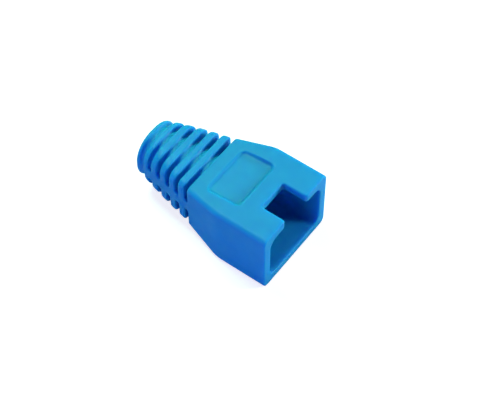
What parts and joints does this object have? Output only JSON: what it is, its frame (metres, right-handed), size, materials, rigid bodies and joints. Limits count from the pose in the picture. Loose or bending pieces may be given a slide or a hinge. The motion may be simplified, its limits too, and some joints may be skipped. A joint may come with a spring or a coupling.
{
  "type": "rj45 strain relief boot",
  "caption": "Slip-on boot in soft plastic with an open latch notch, a recessed marker field and a ribbed tail that eases the bending of a round cable.",
  "frame": {"origin": "under the middle of the boot's length and width, level with its flat underside", "axes": "+X along the boot towards the plug mouth, +Z towards the side of the latch notch"},
  "size_m": [0.0242, 0.014, 0.0105],
  "materials": {
    "boot_pvc": "soft satin PVC"
  },
  "bodies": {
    "root": {"boot": "boot_pvc"}
  },
  "joints": []
}
